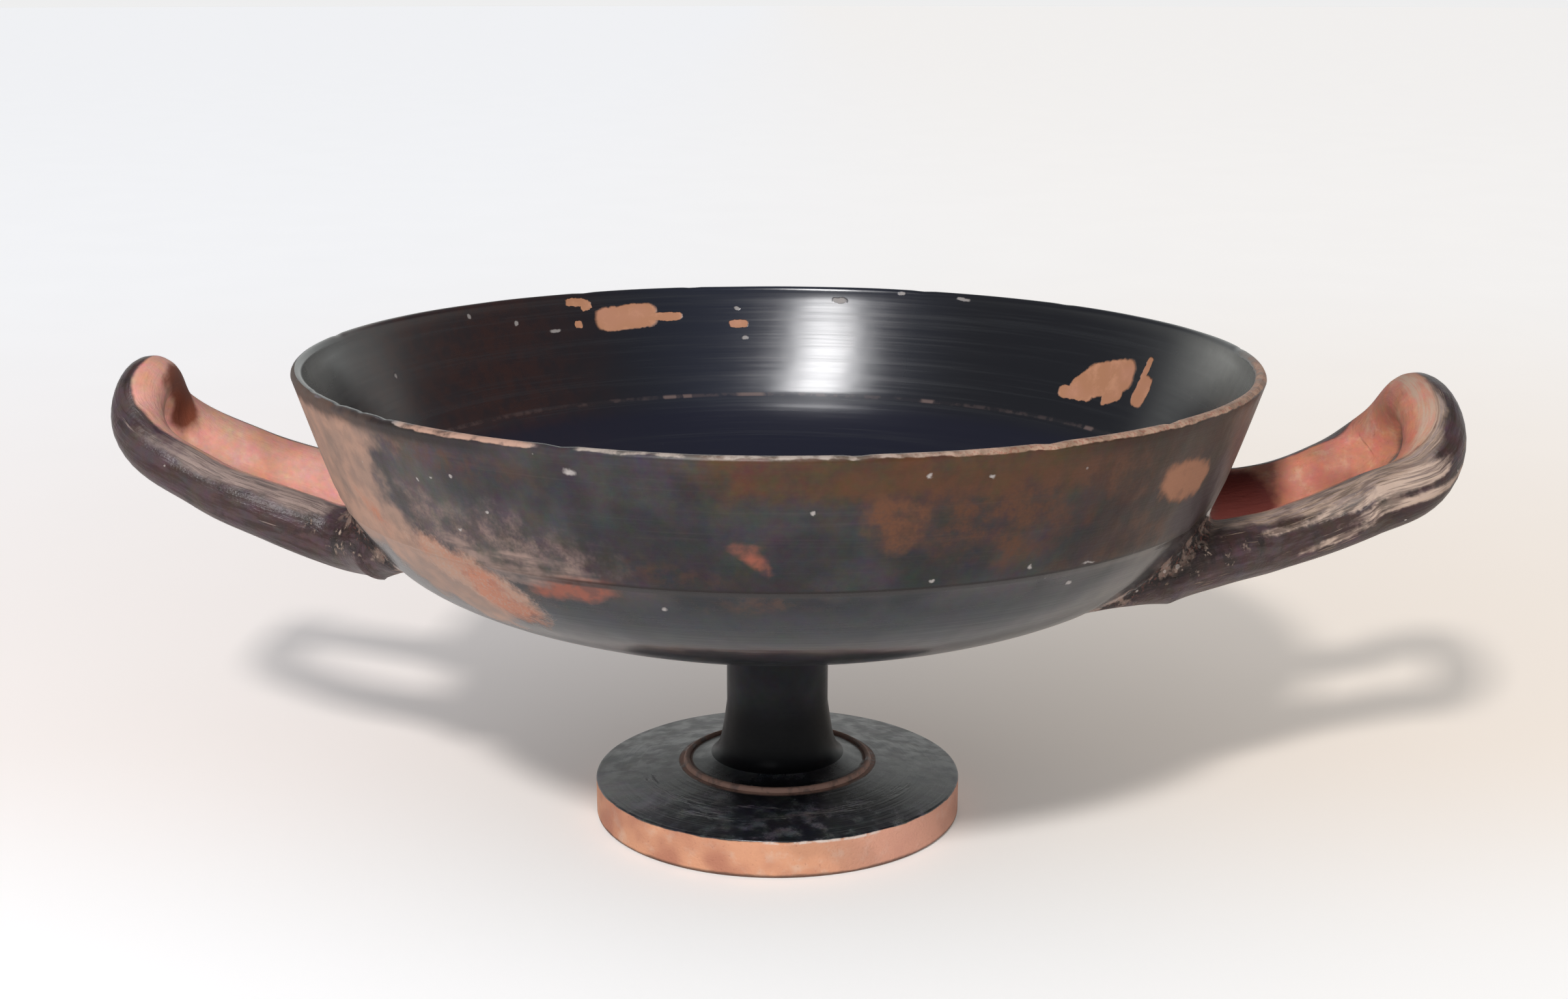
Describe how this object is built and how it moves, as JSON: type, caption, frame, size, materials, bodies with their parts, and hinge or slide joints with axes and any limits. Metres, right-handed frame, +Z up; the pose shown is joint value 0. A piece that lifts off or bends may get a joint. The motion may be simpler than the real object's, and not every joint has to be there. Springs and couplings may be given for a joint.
{
  "type": "greek kylix cup",
  "caption": "Shallow stemmed drinking cup with an offset flaring lip, a disc foot and two horizontal loop handles, in worn black-gloss fired clay.",
  "frame": {"origin": "on the standing surface, at the middle of the box round the cup and its two handles, which is within 0.1 mm of the turned axis", "axes": "+Z up through the stem, X across the two handles, the side seen from the front faces -Y"},
  "size_m": [0.2636, 0.186, 0.0947],
  "materials": {
    "gloss_clay": "black slip gloss over orange fired clay, worn brown and flaked in places; bare clay on the foot's edge and inside the handles"
  },
  "bodies": {
    "root": {"kylix": "gloss_clay"}
  },
  "joints": []
}
